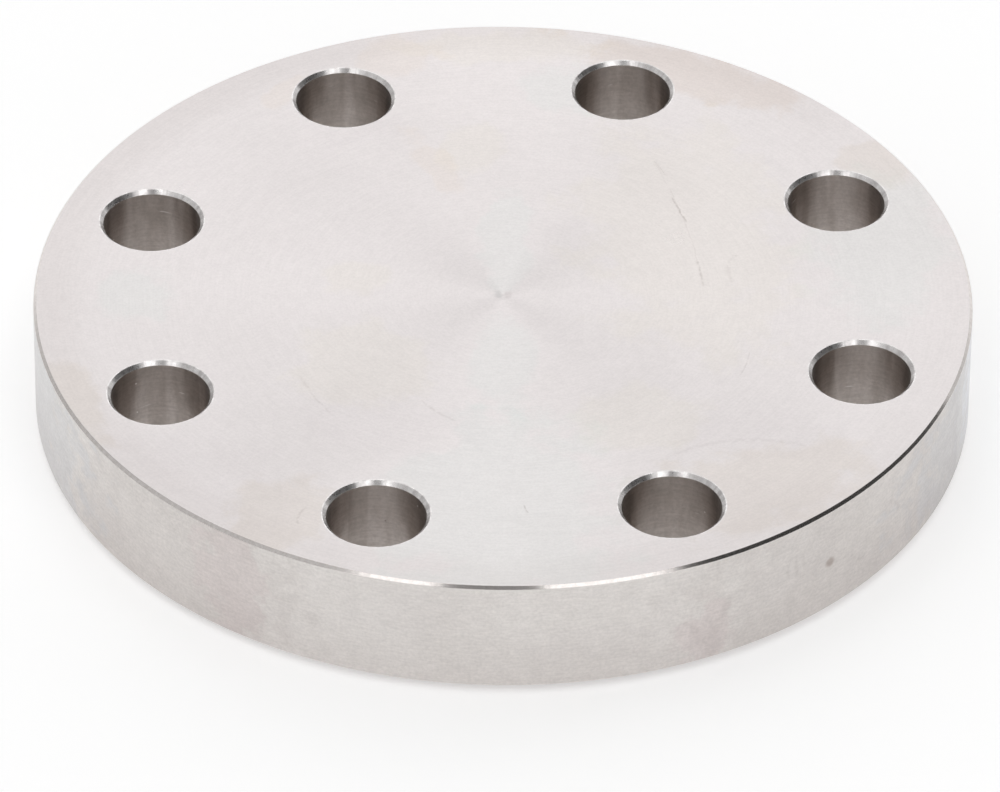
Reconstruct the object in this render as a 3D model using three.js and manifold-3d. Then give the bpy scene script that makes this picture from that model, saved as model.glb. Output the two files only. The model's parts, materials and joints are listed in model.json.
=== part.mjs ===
// Raised-face blind flange: the solid disc that is bolted over the end of a pipe to close it.
//
// It is one piece of stainless steel. A forged blank is turned on a lathe on both sides and on
// the rim, and eight bolt holes are drilled through it and chamfered on both sides.
//
// Frame, in millimetres: the origin is the centre of the gasket face, which is the lowest plane
// of the part. +Z runs along the axis, from the gasket face to the flat back face. The bolt holes
// straddle the X and Y centre lines, as they do on a pipe flange.

import * as THREE from "three";
import { mergeVertices } from "three/addons/utils/BufferGeometryUtils.js";
import Module from "manifold-3d";

// Driving dimensions of a 3 inch pipe size, Class 300 blind flange.
const OUTSIDE_DIAMETER = 210.4;
const DISC_THICKNESS = 27.6; // back face to the ring around the raised face
const RAISED_FACE_DIAMETER = 127.0;
const RAISED_FACE_HEIGHT = 1.6;
const BOLT_CIRCLE_DIAMETER = 168.3;
const BOLT_HOLE_DIAMETER = 21.9; // clears a 3/4 inch stud
const BOLT_HOLE_COUNT = 8;

// Edge work.
const RIM_CHAMFER = 0.67;
const BOLT_HOLE_CHAMFER = 0.85;
const RAISED_FACE_EDGE_BREAK = 0.4;
const RAISED_FACE_ROOT_RADIUS = 0.8;

// The dimple that the facing tool leaves where it stops, at the middle of the back face.
const CENTRE_DIMPLE_DIAMETER = 2.0;
const CENTRE_DIMPLE_DEPTH = 0.15;

// How finely round shapes are divided. The turned body's count is a multiple of the hole count.
const BODY_SEGMENTS = 144;
const HOLE_SEGMENTS = 36;
const ROOT_RADIUS_SEGMENTS = 3;

// How far a cutter reaches past the surfaces that it opens.
const CUTTER_OVERSHOOT = 1.0;

// Heights of the three planes that the dimensions set.
const GASKET_FACE_Z = 0;
const RING_FACE_Z = GASKET_FACE_Z + RAISED_FACE_HEIGHT;
const BACK_FACE_Z = RING_FACE_Z + DISC_THICKNESS;

const STEEL = new THREE.MeshStandardMaterial({
  name: "stainless_steel",
  color: 0xd9d4d1,
  metalness: 1.0,
  roughness: 0.35,
});

// A profile in the (radius, height) half-plane, turned about the Z axis.
function turned(profile, segments) {
  const points = profile.map(([radius, height]) => new THREE.Vector2(radius, height));
  return new THREE.LatheGeometry(points, segments).rotateX(Math.PI / 2);
}

// The concave radius where the raised face's wall meets the ring around it, from wall to ring.
function rootRadius() {
  const centreRadius = RAISED_FACE_DIAMETER / 2 + RAISED_FACE_ROOT_RADIUS;
  const centreZ = RING_FACE_Z - RAISED_FACE_ROOT_RADIUS;
  const points = [];
  for (let step = 0; step <= ROOT_RADIUS_SEGMENTS; step++) {
    const angle = (step / ROOT_RADIUS_SEGMENTS) * (Math.PI / 2);
    points.push([
      centreRadius - RAISED_FACE_ROOT_RADIUS * Math.cos(angle),
      centreZ + RAISED_FACE_ROOT_RADIUS * Math.sin(angle),
    ]);
  }
  return points;
}

// The turned body, from the axis on the gasket face round to the axis on the back face.
function turnedBody() {
  const rim = OUTSIDE_DIAMETER / 2;
  const raised = RAISED_FACE_DIAMETER / 2;
  return turned(
    [
      [0, GASKET_FACE_Z],
      [raised - RAISED_FACE_EDGE_BREAK, GASKET_FACE_Z],
      [raised, GASKET_FACE_Z + RAISED_FACE_EDGE_BREAK],
      ...rootRadius(),
      [rim - RIM_CHAMFER, RING_FACE_Z],
      [rim, RING_FACE_Z + RIM_CHAMFER],
      [rim, BACK_FACE_Z - RIM_CHAMFER],
      [rim - RIM_CHAMFER, BACK_FACE_Z],
      [CENTRE_DIMPLE_DIAMETER / 2, BACK_FACE_Z],
      [0, BACK_FACE_Z - CENTRE_DIMPLE_DEPTH],
    ],
    BODY_SEGMENTS,
  );
}

// What the drill and the chamfering tool take out: a cylinder that flares at 45 degrees through
// both faces.
function boltHoleCutter() {
  const bore = BOLT_HOLE_DIAMETER / 2;
  const mouth = bore + BOLT_HOLE_CHAMFER + CUTTER_OVERSHOOT;
  return turned(
    [
      [0, RING_FACE_Z - CUTTER_OVERSHOOT],
      [mouth, RING_FACE_Z - CUTTER_OVERSHOOT],
      [bore, RING_FACE_Z + BOLT_HOLE_CHAMFER],
      [bore, BACK_FACE_Z - BOLT_HOLE_CHAMFER],
      [mouth, BACK_FACE_Z + CUTTER_OVERSHOOT],
      [0, BACK_FACE_Z + CUTTER_OVERSHOOT],
    ],
    HOLE_SEGMENTS,
  );
}

// Angles of the bolt holes about +Z, half a pitch either side of the centre lines.
function boltHoleAngles() {
  const pitch = (2 * Math.PI) / BOLT_HOLE_COUNT;
  return Array.from({ length: BOLT_HOLE_COUNT }, (_, hole) => (hole + 0.5) * pitch);
}

const wasm = await Module();
wasm.setup();

// A closed three.js geometry as a solid that can be cut.
function toSolid(geometry) {
  const bare = geometry.clone();
  bare.deleteAttribute("normal");
  bare.deleteAttribute("uv");
  const merged = mergeVertices(bare, 1e-4);
  return new wasm.Manifold(
    new wasm.Mesh({
      numProp: 3,
      vertProperties: merged.attributes.position.array,
      triVerts: new Uint32Array(merged.index.array),
    }),
  );
}

// A solid as a three.js geometry, flat shaded.
function toGeometry(solid) {
  const mesh = solid.getMesh();
  const indexed = new THREE.BufferGeometry()
    .setAttribute("position", new THREE.BufferAttribute(mesh.vertProperties, 3))
    .setIndex(new THREE.BufferAttribute(mesh.triVerts, 1));
  const geometry = indexed.toNonIndexed();
  geometry.computeVertexNormals();
  return geometry;
}

// The whole flange: the turned body with every bolt hole drilled out of it.
function blindFlange() {
  let flange = toSolid(turnedBody());
  for (const angle of boltHoleAngles()) {
    const cutter = boltHoleCutter().rotateZ(angle).translate(
      (BOLT_CIRCLE_DIAMETER / 2) * Math.cos(angle),
      (BOLT_CIRCLE_DIAMETER / 2) * Math.sin(angle),
      0,
    );
    flange = flange.subtract(toSolid(cutter));
  }
  const mesh = new THREE.Mesh(toGeometry(flange), STEEL);
  mesh.name = "flange_disc";
  return mesh;
}

const root = new THREE.Group();
root.add(blindFlange());

export default root;
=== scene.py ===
"""Looks of the blind flange: one turned and drilled disc of stainless steel, lying on its gasket face.

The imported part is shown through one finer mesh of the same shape. It adds the small radius on each
edge, the grooves that the facing tool cuts into the gasket face, and the steel's finish.
Lengths are in metres in the part's frame: +Z is the axis and z = 0 is the plane of the gasket face.
"""

import json
import math

import bpy
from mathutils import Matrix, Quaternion, Vector


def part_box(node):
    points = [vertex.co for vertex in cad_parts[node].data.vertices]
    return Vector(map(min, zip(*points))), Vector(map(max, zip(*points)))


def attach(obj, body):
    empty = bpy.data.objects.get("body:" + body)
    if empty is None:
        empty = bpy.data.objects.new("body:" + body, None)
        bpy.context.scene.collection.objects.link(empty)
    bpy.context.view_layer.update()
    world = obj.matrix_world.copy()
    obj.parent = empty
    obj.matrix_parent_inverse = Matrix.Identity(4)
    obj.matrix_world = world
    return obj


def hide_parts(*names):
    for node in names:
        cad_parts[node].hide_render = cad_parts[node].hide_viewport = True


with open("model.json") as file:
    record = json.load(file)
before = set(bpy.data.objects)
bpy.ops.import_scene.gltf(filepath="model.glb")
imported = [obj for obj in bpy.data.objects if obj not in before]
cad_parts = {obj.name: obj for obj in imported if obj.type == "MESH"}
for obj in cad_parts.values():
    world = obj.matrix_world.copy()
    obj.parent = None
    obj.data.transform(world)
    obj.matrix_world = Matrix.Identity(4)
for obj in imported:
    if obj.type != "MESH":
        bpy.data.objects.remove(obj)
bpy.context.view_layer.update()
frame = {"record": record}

MM = 0.001
CAD_NODE = "flange_disc"

# The disc. The rim and the two end planes come from the CAD part, the rest repeats its dimensions.
disc_low, disc_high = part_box(CAD_NODE)
RIM_RADIUS = (disc_high.x - disc_low.x) / 2
GASKET_FACE_Z = disc_low.z
BACK_FACE_Z = disc_high.z
RING_FACE_Z = GASKET_FACE_Z + 1.6 * MM
RAISED_FACE_RADIUS = 63.5 * MM
BORE_RADIUS = 10.95 * MM
RIM_CHAMFER = 0.67 * MM
BORE_CHAMFER = 0.85 * MM
RAISED_FACE_EDGE_BREAK = 0.4 * MM
RAISED_FACE_ROOT_RADIUS = 0.8 * MM
DIMPLE_RADIUS = 1.0 * MM
DIMPLE_DEPTH = 0.15 * MM

# What the CAD part leaves out.
EDGE_SOFTENING = 0.12 * MM
GROOVE_PITCH = 0.8 * MM
GROOVE_DEPTH = 0.05 * MM
GROOVES_START = 4.0 * MM

# Each bolt hole sits in a cell of the disc between two radii, which its grid of faces fills.
CELL_HALF_DEPTH = 16.4 * MM
CELL_SIDE_STEPS = 24
CELL_RINGS = 3
CELL_MOUTH = BORE_RADIUS + BORE_CHAMFER + 2 * EDGE_SOFTENING
CURVE_STEPS = 4
GROOVE_STEPS = 3

# How near to a cylinder's radius the middle of a face lies when the face is part of the cylinder.
ON_CYLINDER = EDGE_SOFTENING / 4

# The camera's angle and distance follow from how round the rim and the holes look.
CAMERA_AZIMUTH = math.radians(-3.735)
CAMERA_ELEVATION = math.radians(36.74)
CAMERA_ROLL = math.radians(0.575)
CAMERA_DISTANCE = 2.0858
CAMERA_AIM_RIGHT = -0.475 * MM
CAMERA_AIM_UP = -22.62 * MM
CAMERA_LENS_MM = 335.14
CAMERA_SENSOR_MM = 36.0
CAMERA_NEAREST = 0.05

FLOOR_SIZE = 60.0
FLOOR_GAP = 0.02 * MM
# The table glows as well as being lit from above, and glows more beneath the flange. The camera
# sees it whiter than the steel does in the open, and sees no glow beneath the flange.
TABLE_ALBEDO = 0.8
TABLE_GLOW = 0.3
TABLE_WHITENING = 0.13
GLOW_BENEATH = 0.25


def hole_centres():
    """Centre of each bolt hole, from the openings that the record states for them."""
    centres = []
    for opening in frame["record"]["physics"]["openings"]:
        low, high = (Vector(corner) for corner in opening["box_m"])
        middle = (low + high) / 2
        centres.append(Vector((middle.x, middle.y, 0)))
    return centres


HOLE_CENTRES = hole_centres()
BOLT_CIRCLE_RADIUS = sum(centre.length for centre in HOLE_CENTRES) / len(HOLE_CENTRES)
CELL_INNER = BOLT_CIRCLE_RADIUS - CELL_HALF_DEPTH
CELL_OUTER = BOLT_CIRCLE_RADIUS + CELL_HALF_DEPTH
BODY_STEPS = CELL_SIDE_STEPS * len(HOLE_CENTRES)
HOLE_STEPS = CELL_SIDE_STEPS * 4

# ---------------------------------------------------------------------------------------------
# The mesh
# ---------------------------------------------------------------------------------------------


class Shell:
    """Gathers the points, normals and faces of one closed surface. Equal points are shared."""

    def __init__(self):
        self.points = []
        self.normals = []
        self.faces = []
        self.finishes = []
        self.axes = []
        self.known = {}

    def point(self, place, normal):
        """Index of the point at that place, made on first use."""
        key = tuple(round(part, 9) for part in place)
        if key not in self.known:
            self.known[key] = len(self.points)
            self.points.append(place)
            self.normals.append(normal)
        return self.known[key]

    def face(self, corners, finish, axis):
        """A face through three or four points, turned to face the way their normals do."""
        first, second, third = (self.points[corner] for corner in corners[:3])
        facing = (second - first).cross(third - second)
        outwards = sum((self.normals[corner] for corner in corners), Vector())
        if facing.dot(outwards) < 0:
            corners = corners[::-1]
        self.faces.append(corners)
        self.finishes.append(finish)
        self.axes.append(axis)

    def join(self, ring, next_ring, finish, axis, closed=True):
        """Faces between two rings with the same number of points."""
        count = len(ring)
        for step in range(count if closed else count - 1):
            after = (step + 1) % count
            corners = [ring[step], ring[after], next_ring[after], next_ring[step]]
            corners = list(dict.fromkeys(corners))
            if len(corners) > 2:
                self.face(corners, finish, axis)


def corner(radius, height, softening=EDGE_SOFTENING):
    """One corner of a profile in the (radius, height) half-plane, and how far its rounding reaches."""
    return Vector((radius, height)), softening


def normal_left_of(start, end):
    """Unit normal of a straight stretch of profile, on the left of the way it runs."""
    along = (end - start).normalized()
    return Vector((-along.y, along.x))


def rounded(corners):
    """A profile's (place, normal) pairs, with a smooth curve in place of each inner corner."""
    places = [place for place, _ in corners]
    profile = [(places[0], normal_left_of(places[0], places[1]))]
    for before, (place, reach), after in zip(places, corners[1:-1], places[2:]):
        start = place + (before - place).normalized() * reach
        end = place + (after - place).normalized() * reach
        start_normal = normal_left_of(before, place)
        end_normal = normal_left_of(place, after)
        for step in range(CURVE_STEPS + 1):
            share = step / CURVE_STEPS
            chord_start = start.lerp(place, share)
            chord_end = place.lerp(end, share)
            normal = start_normal.lerp(end_normal, share).normalized()
            profile.append((chord_start.lerp(chord_end, share), normal))
    profile.append((places[-1], normal_left_of(places[-2], places[-1])))
    return profile


def swept(point, angle):
    """A point of the (radius, height) half-plane, turned to an angle about the Z axis."""
    return Vector((math.cos(angle), math.sin(angle), 0)) * point.x + Vector((0, 0, point.y))


def turned_ring(shell, centre, place, normal, steps, first_angle=0.0):
    """Indices of the points that one profile point sweeps about a vertical axis at centre."""
    ring = []
    for step in range(steps):
        angle = first_angle + 2 * math.pi * step / steps
        ring.append(shell.point(centre + swept(place, angle), swept(normal, angle)))
    return ring


def turned(shell, profile, finish_at, centre, steps, first_angle=0.0):
    """The surface that a profile sweeps. finish_at(radius, height) says which finish it has there."""
    rings = [
        turned_ring(shell, centre, place, normal, steps, first_angle) for place, normal in profile
    ]
    for index in range(len(rings) - 1):
        middle = (profile[index][0] + profile[index + 1][0]) / 2
        shell.join(rings[index], rings[index + 1], finish_at(middle.x, middle.y), centre)


def rim_profile():
    """Down the outside, from the edge of the back face's hole cells to the ring face's."""
    return rounded(
        [
            corner(CELL_OUTER, BACK_FACE_Z),
            corner(RIM_RADIUS - RIM_CHAMFER, BACK_FACE_Z),
            corner(RIM_RADIUS, BACK_FACE_Z - RIM_CHAMFER),
            corner(RIM_RADIUS, RING_FACE_Z + RIM_CHAMFER),
            corner(RIM_RADIUS - RIM_CHAMFER, RING_FACE_Z),
            corner(CELL_OUTER, RING_FACE_Z),
        ]
    )


def back_face_profile():
    """From the bottom of the centre dimple outwards to the hole cells."""
    return rounded(
        [
            corner(0, BACK_FACE_Z - DIMPLE_DEPTH),
            corner(DIMPLE_RADIUS, BACK_FACE_Z, 2 * EDGE_SOFTENING),
            corner(CELL_INNER, BACK_FACE_Z),
        ]
    )


def raised_face_profile():
    """From the hole cells of the ring face inwards, down the raised face's wall to its grooves."""
    return rounded(
        [
            corner(CELL_INNER, RING_FACE_Z),
            corner(RAISED_FACE_RADIUS, RING_FACE_Z, RAISED_FACE_ROOT_RADIUS),
            corner(RAISED_FACE_RADIUS, GASKET_FACE_Z + RAISED_FACE_EDGE_BREAK),
            corner(RAISED_FACE_RADIUS - RAISED_FACE_EDGE_BREAK, GASKET_FACE_Z),
            corner(grooves_end(), GASKET_FACE_Z),
        ]
    )


def groove_count():
    """How many whole grooves fit between the raised face's edge and its plain middle."""
    room = RAISED_FACE_RADIUS - RAISED_FACE_EDGE_BREAK - GROOVES_START - GROOVE_PITCH
    return math.floor(room / GROOVE_PITCH)


def grooves_end():
    """Radius where the outermost groove ends."""
    return GROOVES_START + groove_count() * GROOVE_PITCH


def grooved_profile():
    """The gasket face from its outermost groove to the axis. Each groove is a shallow arc."""
    profile = []
    for groove in reversed(range(groove_count())):
        middle = GROOVES_START + (groove + 0.5) * GROOVE_PITCH
        for step in range(GROOVE_STEPS):
            across = 0.5 - step / GROOVE_STEPS
            height = GASKET_FACE_Z + GROOVE_DEPTH * (1 - 4 * across * across)
            slope = 0 if step == 0 else -8 * GROOVE_DEPTH * across / GROOVE_PITCH
            normal = Vector((slope, -1)).normalized()
            profile.append((Vector((middle + across * GROOVE_PITCH, height)), normal))
    down = Vector((0, -1))
    profile.append((Vector((GROOVES_START, GASKET_FACE_Z)), down))
    profile.append((Vector((0, GASKET_FACE_Z)), down))
    return profile


def bore_profile():
    """Up one bolt hole, from the ring face through both chamfers to the back face."""
    mouth = BORE_RADIUS + BORE_CHAMFER
    return rounded(
        [
            corner(CELL_MOUTH, RING_FACE_Z),
            corner(mouth, RING_FACE_Z),
            corner(BORE_RADIUS, RING_FACE_Z + BORE_CHAMFER),
            corner(BORE_RADIUS, BACK_FACE_Z - BORE_CHAMFER),
            corner(mouth, BACK_FACE_Z),
            corner(CELL_MOUTH, BACK_FACE_Z),
        ]
    )


def angle_of(centre):
    """Angle of a bolt hole about the Z axis, from 0 to a full turn."""
    return math.atan2(centre.y, centre.x) % (2 * math.pi)


def first_hole_angle(centre):
    """Where the rings of points round a bolt hole start: facing the first corner of its cell."""
    return angle_of(centre) - math.pi / 4


def cell_edge(shell, centre, height, normal):
    """The closed outline of a hole's cell, starting at its outer corner on the clockwise side."""
    half = CELL_SIDE_STEPS // 2
    middle = round(angle_of(centre) / (2 * math.pi) * BODY_STEPS)

    def place(step, share):
        radius = CELL_INNER + (CELL_OUTER - CELL_INNER) * share
        return swept(Vector((radius, height)), 2 * math.pi * (step % BODY_STEPS) / BODY_STEPS)

    shares = [step / CELL_SIDE_STEPS for step in range(CELL_SIDE_STEPS)]
    outline = [place(middle - half + step, 1) for step in range(CELL_SIDE_STEPS)]
    outline += [place(middle + half, 1 - share) for share in shares]
    outline += [place(middle + half - step, 0) for step in range(CELL_SIDE_STEPS)]
    outline += [place(middle - half, share) for share in shares]
    return [shell.point(spot, normal) for spot in outline]


def hole_cell(shell, centre, height, normal, finish):
    """The flat faces between the mouth of a bolt hole and the outline of its cell."""
    mouth = Vector((CELL_MOUTH, height))
    flat = Vector((0, normal.z))
    inner = turned_ring(shell, centre, mouth, flat, HOLE_STEPS, first_hole_angle(centre))
    outer = cell_edge(shell, centre, height, normal)
    ring = inner
    for step in range(1, CELL_RINGS + 1):
        share = step / CELL_RINGS
        if step == CELL_RINGS:
            next_ring = outer
        else:
            next_ring = [
                shell.point(shell.points[near].lerp(shell.points[far], share), normal)
                for near, far in zip(inner, outer)
            ]
        shell.join(ring, next_ring, finish, Vector())
        ring = next_ring


# The finishes, in the order of the mesh's material slots.
FINISHES = ["faced", "rim", "rim_chamfer", "hole_chamfer", "bore", "ring_face", "gasket_face"]


def flange_shell():
    """The whole disc as one closed surface."""
    shell = Shell()
    axis = Vector()
    up = Vector((0, 0, 1))
    finish = {name: index for index, name in enumerate(FINISHES)}

    def on_rim(radius, height):
        if height > BACK_FACE_Z - EDGE_SOFTENING and radius < RIM_RADIUS - RIM_CHAMFER:
            return finish["faced"]
        if height < RING_FACE_Z + EDGE_SOFTENING and radius < RIM_RADIUS - RIM_CHAMFER:
            return finish["ring_face"]
        on_wall = radius > RIM_RADIUS - ON_CYLINDER
        return finish["rim"] if on_wall else finish["rim_chamfer"]

    def in_bore(radius, height):
        on_wall = radius < BORE_RADIUS + ON_CYLINDER
        return finish["bore"] if on_wall else finish["hole_chamfer"]

    def under_raised_face(radius, height):
        wall = RAISED_FACE_RADIUS + RAISED_FACE_ROOT_RADIUS
        return finish["ring_face"] if radius > wall else finish["gasket_face"]

    turned(shell, rim_profile(), on_rim, axis, BODY_STEPS)
    turned(shell, back_face_profile(), lambda *_: finish["faced"], axis, BODY_STEPS)
    turned(shell, raised_face_profile(), under_raised_face, axis, BODY_STEPS)
    turned(shell, grooved_profile(), lambda *_: finish["gasket_face"], axis, BODY_STEPS)
    for centre in HOLE_CENTRES:
        turned(shell, bore_profile(), in_bore, centre, HOLE_STEPS, first_hole_angle(centre))
        hole_cell(shell, centre, BACK_FACE_Z, up, finish["faced"])
        hole_cell(shell, centre, RING_FACE_Z, -up, finish["ring_face"])
    return shell


def mesh_object(name, shell, materials):
    """A smooth-shaded object from a shell, which keeps the shell's own normals."""
    mesh = bpy.data.meshes.new(name)
    mesh.from_pydata(shell.points, [], shell.faces)
    for material in materials:
        mesh.materials.append(material)
    mesh.polygons.foreach_set("material_index", shell.finishes)
    mesh.polygons.foreach_set("use_smooth", [True] * len(shell.faces))
    axes = mesh.attributes.new("tool_axis", "FLOAT_VECTOR", "FACE")
    axes.data.foreach_set("vector", [part for axis in shell.axes for part in axis])
    mesh.update()
    mesh.normals_split_custom_set_from_vertices(shell.normals)
    placed = bpy.data.objects.new(name, mesh)
    bpy.context.scene.collection.objects.link(placed)
    return placed


# ---------------------------------------------------------------------------------------------
# Materials
# ---------------------------------------------------------------------------------------------


class Graph:
    """Short calls that add nodes to one material or world."""

    def __init__(self, tree):
        self.tree = tree
        tree.nodes.clear()

    def feed(self, socket, value):
        """Links another node's socket to an input, or sets the input to a plain value."""
        if isinstance(value, bpy.types.NodeSocket):
            self.tree.links.new(value, socket)
        elif isinstance(value, tuple) and socket.type == "RGBA":
            socket.default_value = (*value[:3], 1)
        else:
            socket.default_value = value

    def add(self, kind, inputs=None, **settings):
        """A node of a kind, with its settings and inputs."""
        node = self.tree.nodes.new("ShaderNode" + kind)
        for name, value in settings.items():
            setattr(node, name, value)
        for name, value in (inputs or {}).items():
            self.feed(node.inputs[name], value)
        return node

    def math(self, operation, *values):
        """A number worked out from other numbers."""
        node = self.add("Math", operation=operation)
        for socket, value in zip(node.inputs, values):
            self.feed(socket, value)
        return node.outputs[0]

    def vector(self, operation, *values):
        """A vector worked out from vectors, or a number for a length or a product."""
        node = self.add("VectorMath", operation=operation)
        for socket, value in zip(node.inputs, values):
            self.feed(socket, value)
        is_number = operation in ("LENGTH", "DISTANCE", "DOT_PRODUCT")
        return node.outputs["Value" if is_number else "Vector"]

    def combine(self, x, y, z):
        """A vector from its parts."""
        return self.add("CombineXYZ", {"X": x, "Y": y, "Z": z}).outputs[0]

    def split(self, vector):
        """The parts of a vector."""
        return self.add("SeparateXYZ", {"Vector": vector}).outputs

    def noise(self, place, scale, detail=2.0, roughness=0.5):
        """Smooth noise from 0 to 1."""
        inputs = {"Vector": place, "Scale": scale, "Detail": detail, "Roughness": roughness}
        return self.add("TexNoise", inputs, noise_dimensions="3D").outputs["Fac"]

    def smooth(self, value, low, high, to_low=0.0, to_high=1.0):
        """A smooth step from one level to another as value passes from low to high."""
        inputs = {
            "Value": value,
            "From Min": low,
            "From Max": high,
            "To Min": to_low,
            "To Max": to_high,
        }
        node = self.add("MapRange", inputs, interpolation_type="SMOOTHSTEP")
        return node.outputs["Result"]

    def mix(self, factor, first, second, blend="MIX"):
        """Two colours mixed."""
        node = self.add("Mix", data_type="RGBA", blend_type=blend)
        self.feed(node.inputs[0], factor)
        self.feed(node.inputs[6], first)
        self.feed(node.inputs[7], second)
        return node.outputs[2]

    def total(self, values):
        """The sum of several numbers."""
        result = values[0]
        for value in values[1:]:
            result = self.math("ADD", result, value)
        return result


class ToolMarks:
    """Where a point lies to the tool that cut it, from the axis kept with each face.

    outward points away from that axis, across lies in the surface square to the tool's marks, and
    feed is how far the tool had fed in that direction when it passed the point.
    """

    def __init__(self, graph):
        geometry = graph.add("NewGeometry")
        self.place = graph.add("TexCoord").outputs["Object"]
        self.axis = graph.add("Attribute", attribute_name="tool_axis").outputs["Vector"]
        local = graph.vector("SUBTRACT", self.place, self.axis)
        flat = graph.vector("MULTIPLY", local, (1, 1, 0))
        self.radius = graph.vector("LENGTH", flat)
        self.outward = graph.vector("NORMALIZE", flat)
        around = graph.vector("CROSS_PRODUCT", (0, 0, 1), self.outward)
        normal = geometry.outputs["Normal"]
        self.across = graph.vector("NORMALIZE", graph.vector("CROSS_PRODUCT", around, normal))
        self.feed = graph.vector("DOT_PRODUCT", local, self.across)

    def apart(self, graph):
        """An offset that differs from one bolt hole to the next, to give each its own noise."""
        return graph.vector("MULTIPLY", self.axis, (60, 60, 0))

    def lines(self, graph, scale, wander, detail=2.0):
        """Noise drawn out along the tool's marks. wander is how fast it changes round the axis."""
        x, y, _ = graph.split(self.outward)
        place = graph.combine(
            graph.math("MULTIPLY", self.feed, scale),
            graph.math("MULTIPLY", x, wander),
            graph.math("MULTIPLY", y, wander),
        )
        return graph.noise(place, 1.0, detail)


def steel(name, build):
    """A metal material. build(graph, marks) gives the Principled inputs."""
    material = bpy.data.materials.new(name)
    material.use_nodes = True
    graph = Graph(material.node_tree)
    marks = ToolMarks(graph)
    inputs = {"Metallic": 1.0, "Tangent": marks.across}
    inputs.update(build(graph, marks))
    shader = graph.add("BsdfPrincipled", inputs)
    graph.add("OutputMaterial", {"Surface": shader.outputs[0]})
    return material


def as_seen(graph, marks):
    """Where a point lies on the part as the camera sees it, in millimetres: right, away and up."""
    millimetres = graph.vector("MULTIPLY", marks.place, (1 / MM, 1 / MM, 1 / MM))
    inputs = {"Vector": millimetres, "Angle": -CAMERA_AZIMUTH}
    return graph.add("VectorRotate", inputs, rotation_type="Z_AXIS").outputs["Vector"]


def blotch(graph, place, ragged, spot, softness=0.25):
    """1 inside an oval with a ragged edge and 0 outside it. The oval's sizes are in place's units."""
    across, along, half_width, half_height, turn = spot
    offset = graph.vector("SUBTRACT", place, (across, along, 0))
    inputs = {"Vector": offset, "Angle": -math.radians(turn)}
    offset = graph.add("VectorRotate", inputs, rotation_type="Z_AXIS").outputs["Vector"]
    reach = graph.vector("MULTIPLY", offset, (1 / half_width, 1 / half_height, 0))
    reach = graph.math("ADD", graph.vector("LENGTH", reach), ragged)
    return graph.smooth(reach, 1 + softness, 1 - softness)


def circle_through(first, second, third):
    """Centre and radius of the circle through three places in a plane."""
    across = second - first
    along = third - first
    twice_area = 2 * (across.x * along.y - across.y * along.x)
    square_across = across.length_squared
    square_along = along.length_squared
    centre = first + Vector(
        (
            (along.y * square_across - across.y * square_along) / twice_area,
            (across.x * square_along - along.x * square_across) / twice_area,
        )
    )
    return centre, (first - centre).length


def scratch(graph, place, start, middle, end, width):
    """1 along a thin arc through three places, fading at both ends."""
    start, middle, end = Vector(start), Vector(middle), Vector(end)
    centre, radius = circle_through(start, middle, end)
    spoke = graph.vector("SUBTRACT", place, (centre.x, centre.y, 0))
    spoke = graph.vector("MULTIPLY", spoke, (1, 1, 0))
    gap = graph.math("SUBTRACT", graph.vector("LENGTH", spoke), radius)
    chord = (end - start) / (end - start).length_squared
    offset = graph.vector("SUBTRACT", place, (start.x, start.y, 0))
    share = graph.vector("DOT_PRODUCT", offset, (chord.x, chord.y, 0))
    line = graph.smooth(graph.math("ABSOLUTE", gap), width, 0)
    begins = graph.smooth(share, -0.02, 0.1)
    ends = graph.smooth(share, 1.02, 0.9)
    halfway = (start + end) / 2
    reach = graph.vector("DISTANCE", graph.vector("MULTIPLY", place, (1, 1, 0)), (halfway.x, halfway.y, 0))
    near = graph.math("LESS_THAN", reach, (end - start).length * 0.75)
    return graph.math("MULTIPLY", graph.math("MULTIPLY", line, near), graph.math("MULTIPLY", begins, ends))


# Tints that a stain multiplies the steel's colour by; some of them are painted shade, a painted highlight
# and painted reflections instead.
TAN = (1.0, 0.998, 0.972)
ORANGE = (1.0, 0.982, 0.958)
BROWN = (0.965, 0.951, 0.922)
RUST_BROWN = (0.952, 0.922, 0.892)
# A grey stain, and also a painted greenish reflection.
GREY_STAIN_AND_PAINTED_REFLECTION = (0.972, 1.0, 0.994)
# A painted cool reflection.
PAINTED_COOL_REFLECTION = (0.972, 1.0, 1.03)
BLUSH = (0.99, 0.964, 0.972)
# Painted shade.
PAINTED_SHADE = (0.95, 0.944, 0.943)
SMUDGE = (0.985, 0.983, 0.985)
# A painted highlight.
PAINTED_HIGHLIGHT = (1.1, 1.13, 1.17)
SCRATCH = (0.45, 0.41, 0.39)

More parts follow.
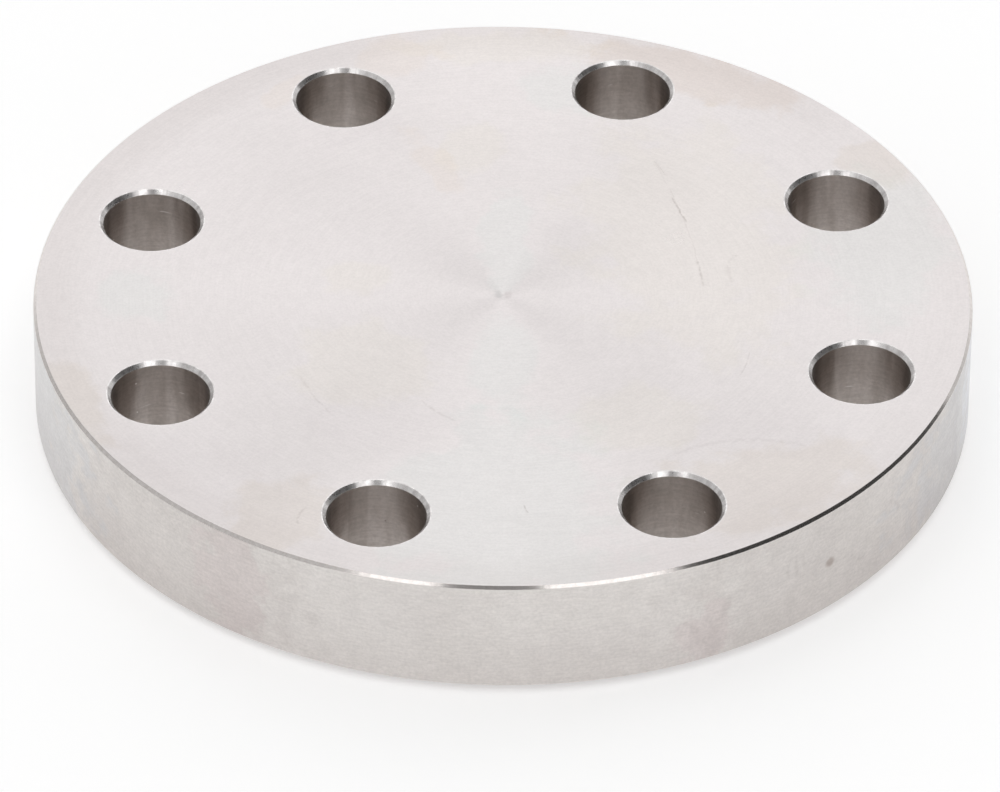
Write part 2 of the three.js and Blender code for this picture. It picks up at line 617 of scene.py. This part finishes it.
# Stains on the back face, with a painted greenish reflection of the light's fan among the grey ones, in
# millimetres as the camera sees them: right of the centre, away from the camera, half width, half depth
# and turn in degrees.
FACE_STAINS = [
    (TAN, (42, 24, 23, 42, 4)),
    (TAN, (31, -44, 12, 12, 0)),
    (TAN, (-30, -27, 15, 15, 0)),
    (TAN, (-35, 6, 8, 7, 0)),
    (TAN, (-8, 56, 7, 11, 0)),
    (TAN, (0, 96, 24, 6, 0)),
    # The grey tints on the middle line paint a greenish reflection of the light's fan; the two at the
    # sides are grey stains.
    (GREY_STAIN_AND_PAINTED_REFLECTION, (0, -82, 24, 33, 0)),
    (GREY_STAIN_AND_PAINTED_REFLECTION, (1, -27, 7, 15, 0)),
    (GREY_STAIN_AND_PAINTED_REFLECTION, (0, 21, 6, 17, 0)),
    (GREY_STAIN_AND_PAINTED_REFLECTION, (15, 80, 12, 9, 0)),
    (GREY_STAIN_AND_PAINTED_REFLECTION, (84, 20, 15, 26, 0)),
    (GREY_STAIN_AND_PAINTED_REFLECTION, (-82, 0, 8, 9, 0)),
    (SMUDGE, (-36, 64, 11, 8, 20)),
    (SMUDGE, (-28, -48, 20, 12, 0)),
    (SMUDGE, (58, -50, 16, 10, 0)),
    (ORANGE, (-16, 50, 4, 12, 27)),
    (ORANGE, (-25, 92, 9, 8, 0)),
    (ORANGE, (-52, 76, 4, 8, -30)),
    (RUST_BROWN, (42, 87, 25, 9, -24)),
    (BROWN, (84, 52, 9, 9, -40)),
    (BROWN, (56, -69, 27, 14, 18)),
    (SMUDGE, (60, -74, 18, 9, 10)),
    (BROWN, (-48, -80, 11, 13, -35)),
    (SMUDGE, (-62, -68, 24, 12, -40)),
    (BROWN, (-94, -42, 6, 15, 20)),
]

# Scratches and hairlines on it: three places along each, its width, and how dark it is.
FACE_SCRATCHES = [
    ((34, 52), (41, 28), (45, 4), 0.25, 0.13),
    ((34, 52), (35.4, 49), (36.8, 46), 0.35, 0.2),
    ((38, 38), (40, 32), (41.5, 28), 0.4, 0.4),
    ((43.5, 14), (44.4, 9), (45, 4), 0.5, 0.22),
    ((53, 17), (50.5, 10), (52, 5), 0.8, 0.12),
    ((55, -20), (54, -25), (52, -30), 0.3, 0.2),
    ((5, -76), (5.3, -77.5), (6, -79), 0.3, 0.4),
    ((-45, -30), (-41.5, -38), (-37, -45), 0.5, 0.15),
    ((-18, -39), (-14, -43.5), (-10, -46.5), 0.5, 0.16),
    ((-42, -78), (-44, -81), (-44, -84), 0.5, 0.2),
    ((33, -62), (48, -53), (70, -56), 1.0, 0.1),
]


def ragged_edge(graph, place, scale):
    """Noise that pushes the edge of each stain and painted patch in and out."""
    return graph.math("MULTIPLY_ADD", graph.noise(place, scale, 5.0, 0.6), 2.4, -1.2)


def stained(graph, colour, place, stains, ragged, softness=0.25):
    """The colour with every stain in the list laid on it, and every patch of painted shade, highlight or
    reflection that the list holds.
    """
    for tint, spot in stains:
        inside = blotch(graph, place, ragged, spot, softness)
        colour = graph.mix(inside, colour, tint, "MULTIPLY")
    return colour


def scratched(graph, colour, place, scratches, wobble):
    """The colour with every scratch drawn on it, a little crooked and broken in places."""
    shift = graph.add("TexNoise", {"Vector": place, "Scale": 0.35, "Detail": 3.0}).outputs["Color"]
    shift = graph.vector("MULTIPLY_ADD", shift, (2 * wobble, 2 * wobble, 0), (-wobble, -wobble, 0))
    crooked = graph.vector("ADD", place, shift)
    breaks = graph.smooth(graph.noise(place, 0.8, 2.0), 0.3, 0.55)
    for start, middle, end, width, darkness in scratches:
        line = graph.math("MULTIPLY", scratch(graph, crooked, start, middle, end, width), breaks)
        colour = graph.mix(graph.math("MULTIPLY", line, darkness), colour, SCRATCH, "MULTIPLY")
    return colour


def grained(graph, colour, place, scale, fine_amount, broad_amount):
    """The colour broken up by the steel's grain, at two sizes."""
    fine = graph.smooth(graph.noise(place, scale, 4.0, 0.65), 0.25, 0.75)
    broad = graph.smooth(graph.noise(place, scale / 5, 2.0), 0.25, 0.75)
    colour = graph.mix(fine, colour, (1 - fine_amount,) * 3, "MULTIPLY")
    return graph.mix(broad, colour, (1 - broad_amount,) * 3, "MULTIPLY")


def specked(graph, colour, place, scale, kinds):
    """The colour with scattered specks: a seed, how common, how big, and a colour for each kind."""
    for seed, share, size, tint in kinds:
        shifted = graph.vector("ADD", place, (seed, 0, 0))
        cells = graph.add("TexVoronoi", {"Vector": shifted, "Scale": scale}, feature="F1")
        chosen = graph.math("LESS_THAN", graph.split(cells.outputs["Color"])[0], share)
        speck = graph.smooth(cells.outputs["Distance"], size, size / 2)
        colour = graph.mix(graph.math("MULTIPLY", speck, chosen), colour, tint)
    return colour


# The mark that the facing tool left at the centre, as a dull spot either side of the dimple.
CENTRE_MARKS = [
    ((0.82, 0.83, 0.83), (-1.0, 0.0, 0.8, 1.2, 20)),
    ((0.89, 0.88, 0.88), (1.2, 0.1, 0.7, 1.0, -20)),
]
FACE_SPECKS = [
    (1.0, 0.5, 0.014, (0.5, 0.46, 0.44)),
    (2.0, 0.4, 0.010, (0.34, 0.3, 0.28)),
]


def faced_finish(graph, marks):
    """The back face: fine facing marks, stains left by handling and coolant, a few scratches, painted
    shade on the half nearer the camera, and a painted greenish reflection of the light's fan along its
    middle.
    """
    seen = as_seen(graph, marks)
    cloud = graph.noise(marks.place, 28.0, 3.0, 0.55)
    colour = graph.mix(graph.smooth(cloud, 0.3, 0.75), (0.894, 0.845, 0.841), (0.878, 0.83, 0.825))
    right, away, _ = graph.split(seen)
    # Painted shade: the half of the back face nearer the camera is darker.
    painted_shade_near_side = graph.smooth(away, 90.0, -90.0)
    colour = graph.mix(painted_shade_near_side, colour, (0.966, 0.968, 0.968), "MULTIPLY")
    colour = stained(graph, colour, seen, FACE_STAINS, ragged_edge(graph, seen, 0.09))
    colour = stained(graph, colour, seen, CENTRE_MARKS, ragged_edge(graph, seen, 1.0), 0.9)
    colour = scratched(graph, colour, seen, FACE_SCRATCHES, 0.5)
    colour = specked(graph, colour, seen, 0.045, FACE_SPECKS)
    colour = grained(graph, colour, seen, 1.7, 0.075, 0.022)
    cuts = graph.smooth(marks.lines(graph, 2000.0, 8.0, 3.0), 0.3, 0.7)
    colour = graph.mix(cuts, colour, (0.97, 0.97, 0.97), "MULTIPLY")
    handled = graph.smooth(marks.radius, RIM_RADIUS - 14 * MM, RIM_RADIUS - 4 * MM)
    handled = graph.math("MULTIPLY", handled, graph.smooth(right, 52.0, 78.0, 1.0, 0.25))
    colour = graph.mix(handled, colour, (0.948, 0.943, 0.939), "MULTIPLY")
    fine = marks.lines(graph, 2600.0, 1.5)
    bump = graph.add("Bump", {"Height": fine, "Strength": 1.0, "Distance": 0.0004 * MM})
    return {
        "Base Color": colour,
        "Roughness": graph.smooth(cloud, 0.2, 0.8, 0.27, 0.33),
        "Anisotropic": graph.smooth(marks.radius, 5 * MM, 60 * MM, 0.88, 0.78),
        "Normal": bump.outputs[0],
    }


def round_the_rim(graph, marks):
    """Where a point lies on the rim, unrolled: millimetres round from the camera's side and up."""
    right, away, up = graph.split(as_seen(graph, marks))
    turn = graph.math("ARCTAN2", right, graph.math("MULTIPLY", away, -1))
    return graph.combine(graph.math("MULTIPLY", turn, RIM_RADIUS / MM), up, 0)


# Stains on the rim, with painted shade, a painted highlight and a painted cool reflection among them, in
# millimetres: round from the camera's side to the right, up from the gasket face, half width, half height
# and turn in degrees.
RIM_STAINS = [
    (BLUSH, (-62, 16, 9, 15, 10)),
    (BLUSH, (46, 9, 7, 8, 0)),
    # A painted cool reflection on both sides of the rim.
    (PAINTED_COOL_REFLECTION, (-158, 15, 45, 30, 0)),
    (PAINTED_COOL_REFLECTION, (156, 15, 45, 30, 0)),
    # A painted highlight at the rim's right-hand edge.
    (PAINTED_HIGHLIGHT, (166, 15, 22, 60, 0)),
    # Painted shade: these darken the rim right and left of the front.
    (PAINTED_SHADE, (88, 14, 44, 30, 0)),
    (PAINTED_SHADE, (122, 14, 16, 30, 0)),
    (PAINTED_SHADE, (-82, 14, 34, 26, 0)),
    (SMUDGE, (46, 6, 5, 5, 15)),
    (SMUDGE, (20, 12, 14, 5, 0)),
    (SMUDGE, (-20, 20, 12, 6, 0)),
    (SMUDGE, (-105, 12, 10, 8, 0)),
    (SMUDGE, (70, 20, 12, 7, 0)),
    (SMUDGE, (101, 18, 4, 5, 0)),
    (SMUDGE, (88, 12, 3, 4, 0)),
    (SMUDGE, (102, 8, 22, 4, 0)),
]

# Dark marks on it, as for the face.
RIM_SCRATCHES = [
    ((40, 17), (43, 12), (45, 7), 1.6, 0.1),
    ((52, 18), (50, 12), (46, 7), 1.6, 0.1),
    ((67.5, 22), (67.0, 19), (67.5, 16), 0.8, 0.12),
    ((69.5, 23), (69.3, 19), (69.5, 15), 0.9, 0.14),
    ((71.5, 22), (71.2, 19), (71.8, 16), 0.8, 0.1),
    ((99, 20), (102, 18), (103, 15), 0.9, 0.16),
    ((86, 13), (88, 11), (91, 10), 0.8, 0.14),
]

# A small dent in it: where and how big, as for the stains, and the tint inside it.
RIM_DENT = (79.3, 14.6, 1.2, 1.1, 0)
DENT = (0.72, 0.67, 0.65)


def rim_finish(graph, marks):
    """The rim: turned a little coarser than the faces, darker towards the table by painted shade, and
    handled; painted shade, a painted highlight and a painted cool reflection lie among its stains.
    """
    unrolled = round_the_rim(graph, marks)
    cloud = graph.noise(marks.place, 40.0, 3.0, 0.55)
    colour = graph.mix(graph.smooth(cloud, 0.3, 0.75), (0.944, 0.904, 0.876), (0.914, 0.872, 0.843))
    colour = stained(graph, colour, unrolled, RIM_STAINS, ragged_edge(graph, unrolled, 0.16))
    colour = scratched(graph, colour, unrolled, RIM_SCRATCHES, 0.9)
    colour = graph.mix(blotch(graph, unrolled, 0.0, RIM_DENT, 0.5), colour, DENT, "MULTIPLY")
    # Painted shade: the lower rim darker, as it reflects the shadowed table beside the flange.
    painted_shade_near_table = graph.smooth(graph.split(unrolled)[1], 20.0, 2.0)
    colour = graph.mix(painted_shade_near_table, colour, (0.945, 0.938, 0.938), "MULTIPLY")
    streaks = graph.noise(graph.vector("MULTIPLY", unrolled, (0.3, 1.6, 1)), 1.0, 4.0, 0.65)
    colour = graph.mix(graph.smooth(streaks, 0.2, 0.8), colour, (0.90, 0.897, 0.893), "MULTIPLY")
    colour = grained(graph, colour, unrolled, 1.3, 0.12, 0.05)
    fine = marks.lines(graph, 2200.0, 3.0)
    bump = graph.add("Bump", {"Height": fine, "Strength": 1.0, "Distance": 0.0006 * MM})
    return {
        "Base Color": colour,
        "Roughness": graph.smooth(cloud, 0.2, 0.8, 0.37, 0.43),
        "Anisotropic": 0.6,
        "Normal": bump.outputs[0],
    }


def chamfer_steel_inputs(graph, marks, colours, roughness, anisotropy, tearing):
    """A chamfer's finish: bright, with a surface that the cutter tore a little."""
    torn = graph.noise(marks.place, 900.0, 3.0, 0.6)
    bump = graph.add("Bump", {"Height": torn, "Strength": 1.0, "Distance": tearing})
    return {
        "Base Color": graph.mix(graph.smooth(torn, 0.3, 0.7), *colours),
        "Roughness": graph.smooth(torn, 0.2, 0.8, *roughness),
        "Anisotropic": anisotropy,
        "Normal": bump.outputs[0],
    }


def rim_chamfer_finish(graph, marks):
    """The chamfers on the rim, cut with the same fine feed as the faces."""
    colours = ((0.86, 0.815, 0.79), (0.765, 0.72, 0.695))
    return chamfer_steel_inputs(graph, marks, colours, (0.14, 0.19), 0.9, 0.003 * MM)


def hole_chamfer_finish(graph, marks):
    """The chamfers of the bolt holes, cut by a hand-fed countersink that chattered."""
    colours = ((1.0, 0.975, 0.965), (0.83, 0.805, 0.795))
    inputs = chamfer_steel_inputs(graph, marks, colours, (0.24, 0.34), 0.75, 0.01 * MM)
    round_the_hole = graph.vector("MULTIPLY_ADD", marks.outward, (6, 6, 6), marks.apart(graph))
    chatter = graph.smooth(graph.noise(round_the_hole, 1.0, 2.0), 0.45, 0.6)
    colour = graph.mix(chatter, inputs["Base Color"], (0.8, 0.79, 0.79), "MULTIPLY")
    inputs["Base Color"] = colour
    return inputs


# Specks on the walls of the bolt holes, light and dark.
BORE_SPECKS = [
    (1.0, 0.2, 0.09, (0.95, 0.94, 0.93)),
    (2.0, 0.08, 0.12, (0.2, 0.16, 0.14)),
]


def bore_finish(graph, marks):
    """The bolt holes: drilled, with rings from the drill, light bands down the wall and specks."""
    x, y, _ = graph.split(marks.outward)

    def on_wall(round_scale, down_scale):
        """A place on the wall for noise, different in every hole."""
        across = graph.math("MULTIPLY", x, round_scale)
        away = graph.math("MULTIPLY", y, round_scale)
        down = graph.math("MULTIPLY", marks.feed, down_scale)
        return graph.vector("ADD", graph.combine(across, away, down), marks.apart(graph))

    rings = graph.noise(on_wall(2.0, 1800.0), 1.0, 3.0)
    waves = graph.noise(on_wall(1.6, 20.0), 1.0, 1.0)
    bands = graph.noise(on_wall(2.2, 12.0), 1.0, 1.0)
    patches = graph.noise(on_wall(5.0, 110.0), 1.0, 4.0, 0.6)
    arcs = graph.noise(on_wall(2.6, 1500.0), 1.0, 0.0)
    grain = graph.noise(marks.place, 1400.0, 3.0, 0.6)
    colour = graph.mix(graph.smooth(rings, 0.3, 0.7), (0.65, 0.6, 0.572), (0.59, 0.542, 0.515))
    colour = graph.mix(graph.smooth(bands, 0.44, 0.52), colour, (0.86, 0.85, 0.84), "MULTIPLY")
    colour = graph.mix(graph.smooth(patches, 0.3, 0.7), colour, (0.88, 0.87, 0.86), "MULTIPLY")
    colour = graph.mix(graph.smooth(grain, 0.3, 0.7), colour, (0.88, 0.88, 0.88), "MULTIPLY")
    colour = graph.mix(graph.smooth(arcs, 0.82, 0.9, 0.0, 0.7), colour, (0.82, 0.8, 0.79))
    colour = specked(graph, colour, marks.place, 300.0, BORE_SPECKS)
    ring_bump = graph.add("Bump", {"Height": rings, "Strength": 1.0, "Distance": 0.0045 * MM})
    bump = graph.add(
        "Bump",
        {
            "Height": waves,
            "Strength": 1.0,
            "Distance": 0.6 * MM,
            "Normal": ring_bump.outputs[0],
        },
    )
    return {
        "Base Color": colour,
        "Roughness": graph.smooth(rings, 0.2, 0.8, 0.32, 0.42),
        "Anisotropic": 0.8,
        "Normal": bump.outputs[0],
    }


def ring_face_finish(graph, marks):
    """The ring round the raised face."""
    fine = marks.lines(graph, 1800.0, 2.0)
    bump = graph.add("Bump", {"Height": fine, "Strength": 1.0, "Distance": 0.001 * MM})
    return {
        "Base Color": graph.mix(fine, (0.77, 0.74, 0.73), (0.72, 0.69, 0.68)),
        "Roughness": graph.smooth(fine, 0.2, 0.8, 0.28, 0.36),
        "Anisotropic": 0.7,
        "Normal": bump.outputs[0],
    }


def gasket_face_finish(graph, marks):
    """The raised face, whose grooves are in the mesh."""
    fine = marks.lines(graph, 9000.0, 4.0)
    return {
        "Base Color": graph.mix(fine, (0.79, 0.765, 0.755), (0.74, 0.71, 0.70)),
        "Roughness": graph.smooth(fine, 0.2, 0.8, 0.2, 0.28),
        "Anisotropic": 0.4,
    }


# ---------------------------------------------------------------------------------------------
# Studio
# ---------------------------------------------------------------------------------------------


# Panels of the dome, in degrees: azimuth and elevation of the middle, half width, half height and
# the softness of the edge. Then how much brighter or darker than the dome's 1 each is.
PANELS = [
    ((86, 62, 65, 20, 8), -0.06),
    ((86, 62, 8, 15, 3), 0.3),
    ((38, 32, 20, 18, 8), -0.07),
    ((134, 32, 20, 18, 8), -0.07),
    ((176, 32, 52, 31, 2), -0.45),
    ((-10, 35, 37, 25, 1.5), -0.96),
    ((-96, 50, 14, 32, 1.5), -0.75),
    ((-121.5, 52, 11.5, 14, 1.5), 0.35),
    ((-64.5, 52, 17.5, 14, 1.5), 0.35),
    ((38, 11, 11, 8, 3), -0.45),
]


def studio_world():
    """A white dome of soft light with its panels, as a function of direction."""
    world = bpy.data.worlds.new("studio")
    world.use_nodes = True
    bpy.context.scene.world = world
    graph = Graph(world.node_tree)
    direction = graph.add("TexCoord").outputs["Generated"]
    x, y, z = graph.split(direction)
    azimuth = graph.math("ARCTAN2", y, x)
    elevation = graph.math("ARCSINE", z)

    def panel(centre_azimuth, centre_elevation, half_width, half_height, softness):
        """1 within a box of directions, falling to 0 over the softness of its edge."""
        turn = graph.math("SUBTRACT", azimuth, math.radians(centre_azimuth))
        turn = graph.math("WRAP", turn, math.pi, -math.pi)
        rise = graph.math("SUBTRACT", elevation, math.radians(centre_elevation))
        width = math.radians(half_width)
        height = math.radians(half_height)
        edge = math.radians(softness)
        sideways = graph.smooth(graph.math("ABSOLUTE", turn), width + edge, width - edge)
        upright = graph.smooth(graph.math("ABSOLUTE", rise), height + edge, height - edge)
        return graph.math("MULTIPLY", sideways, upright)

    parts = [1.0]
    parts += [graph.math("MULTIPLY", panel(*place), change) for place, change in PANELS]
    light = graph.math("MAXIMUM", graph.total(parts), 0.0)
    background = graph.add("Background", {"Color": (1, 1, 1), "Strength": light})
    graph.add("OutputWorld", {"Surface": background.outputs[0]})


def floor():
    """The pale table. felt is its glow as the steel sees it, and shown as the camera sees it."""
    half = FLOOR_SIZE / 2
    height = GASKET_FACE_Z - FLOOR_GAP
    corners = [(-half, -half, height), (half, -half, height), (half, half, height)]
    corners.append((-half, half, height))
    mesh = bpy.data.meshes.new("floor")
    mesh.from_pydata(corners, [], [(0, 1, 2, 3)])
    material = bpy.data.materials.new("pale_table")
    material.use_nodes = True
    graph = Graph(material.node_tree)
    from_axis = graph.vector("LENGTH", graph.add("NewGeometry").outputs["Position"])
    beneath = graph.smooth(from_axis, RIM_RADIUS + 1 * MM, RIM_RADIUS - 6 * MM)
    felt = graph.math("MULTIPLY_ADD", beneath, GLOW_BENEATH, TABLE_GLOW)
    in_the_open = graph.math("SUBTRACT", 1.0, beneath)
    shown = graph.math("MULTIPLY", in_the_open, TABLE_GLOW + TABLE_WHITENING)
    to_camera = graph.add("LightPath").outputs["Is Camera Ray"]
    difference = graph.math("SUBTRACT", shown, felt)
    glow = graph.math("MULTIPLY_ADD", to_camera, difference, felt)
    plain = graph.add("BsdfDiffuse", {"Color": (TABLE_ALBEDO, TABLE_ALBEDO, TABLE_ALBEDO)})
    lit = graph.add("Emission", {"Strength": glow})
    both = graph.add("AddShader", {0: plain.outputs[0], 1: lit.outputs[0]})
    graph.add("OutputMaterial", {"Surface": both.outputs[0]})
    mesh.materials.append(material)
    placed = bpy.data.objects.new("floor", mesh)
    bpy.context.scene.collection.objects.link(placed)


def camera():
    """The camera, with no lens shift."""
    toward_camera = Vector(
        (
            math.sin(CAMERA_AZIMUTH) * math.cos(CAMERA_ELEVATION),
            -math.cos(CAMERA_AZIMUTH) * math.cos(CAMERA_ELEVATION),
            math.sin(CAMERA_ELEVATION),
        )
    )
    right = Vector((math.cos(CAMERA_AZIMUTH), math.sin(CAMERA_AZIMUTH), 0))
    up = toward_camera.cross(right)
    face_centre = Vector((0, 0, BACK_FACE_Z))
    place = face_centre + toward_camera * CAMERA_DISTANCE
    aim = face_centre + right * CAMERA_AIM_RIGHT + up * CAMERA_AIM_UP
    lens = bpy.data.cameras.new("camera")
    lens.lens = CAMERA_LENS_MM
    lens.sensor_width = CAMERA_SENSOR_MM
    lens.clip_start = CAMERA_NEAREST
    lens.clip_end = FLOOR_SIZE * 2
    placed = bpy.data.objects.new("camera", lens)
    placed.location = place
    placed.rotation_mode = "QUATERNION"
    upright = (aim - place).to_track_quat("-Z", "Y")
    placed.rotation_quaternion = upright @ Quaternion((0, 0, 1), CAMERA_ROLL)
    bpy.context.scene.collection.objects.link(placed)
    bpy.context.scene.camera = placed


def view_settings():
    """Plain colours, so that a pale floor stays pale."""
    settings = bpy.context.scene.view_settings
    settings.view_transform = "Standard"
    settings.look = "None"
    settings.exposure = 0.0
    settings.gamma = 1.0


finish_makers = {
    "faced": faced_finish,
    "rim": rim_finish,
    "rim_chamfer": rim_chamfer_finish,
    "hole_chamfer": hole_chamfer_finish,
    "bore": bore_finish,
    "ring_face": ring_face_finish,
    "gasket_face": gasket_face_finish,
}
materials = [steel(f"{name}_steel", finish_makers[name]) for name in FINISHES]
disc = mesh_object("blind_flange_disc", flange_shell(), materials)
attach(disc, "root")
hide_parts(CAD_NODE)

floor()
studio_world()
camera()
view_settings()

bpy.context.view_layer.update()
